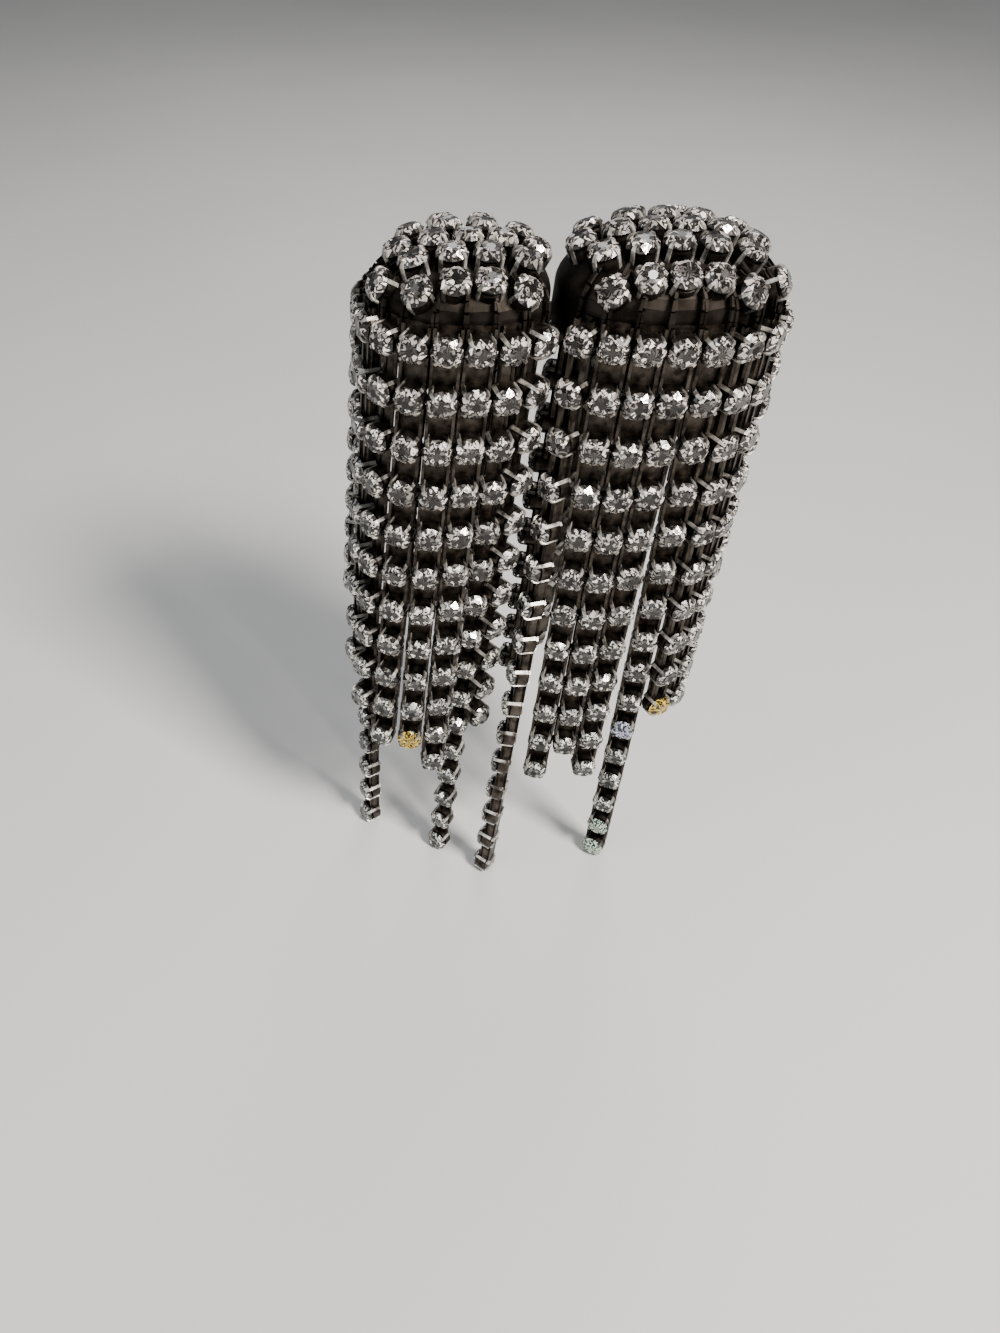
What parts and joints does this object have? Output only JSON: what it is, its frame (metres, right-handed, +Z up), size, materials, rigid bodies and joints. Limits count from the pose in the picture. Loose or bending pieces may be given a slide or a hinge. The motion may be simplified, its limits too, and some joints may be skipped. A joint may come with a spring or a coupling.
{
  "type": "fringe earring",
  "caption": "Drop earring with two domed, stone-set caps side by side and a curtain of stone-set strands of uneven length hanging round them, dense in front and thinner behind, held by a post behind.",
  "frame": {"origin": "root of the ear post, in the middle of the back plate's rear face", "axes": "+X to the right as seen from the front, +Y backwards along the ear post, +Z up; the strands hang down along -Z"},
  "size_m": [0.0404, 0.0295, 0.0811],
  "materials": {
    "metal": "dark silver plating, polished, a little warm",
    "set_stones": "clear foil-backed cut stones in dark silver claw cups"
  },
  "bodies": {
    "root": {"ear_post": "metal", "cap_left": "set_stones", "cap_right": "set_stones", "strand_01": "set_stones", "strand_02": "set_stones", "strand_03": "set_stones", "strand_04": "set_stones", "strand_05": "set_stones", "strand_06": "set_stones", "strand_07": "set_stones", "strand_08": "set_stones", "strand_09": "set_stones", "strand_10": "set_stones", "strand_11": "set_stones", "strand_12": "set_stones", "strand_13": "set_stones", "strand_14": "set_stones", "strand_15": "set_stones", "strand_16": "set_stones", "strand_17": "set_stones", "strand_18": "set_stones", "strand_19": "set_stones", "strand_20": "set_stones", "strand_21": "set_stones", "strand_22": "set_stones", "strand_23": "set_stones", "strand_24": "set_stones", "strand_25": "set_stones", "strand_26": "set_stones", "strand_27": "set_stones", "strand_28": "set_stones"}
  },
  "joints": []
}
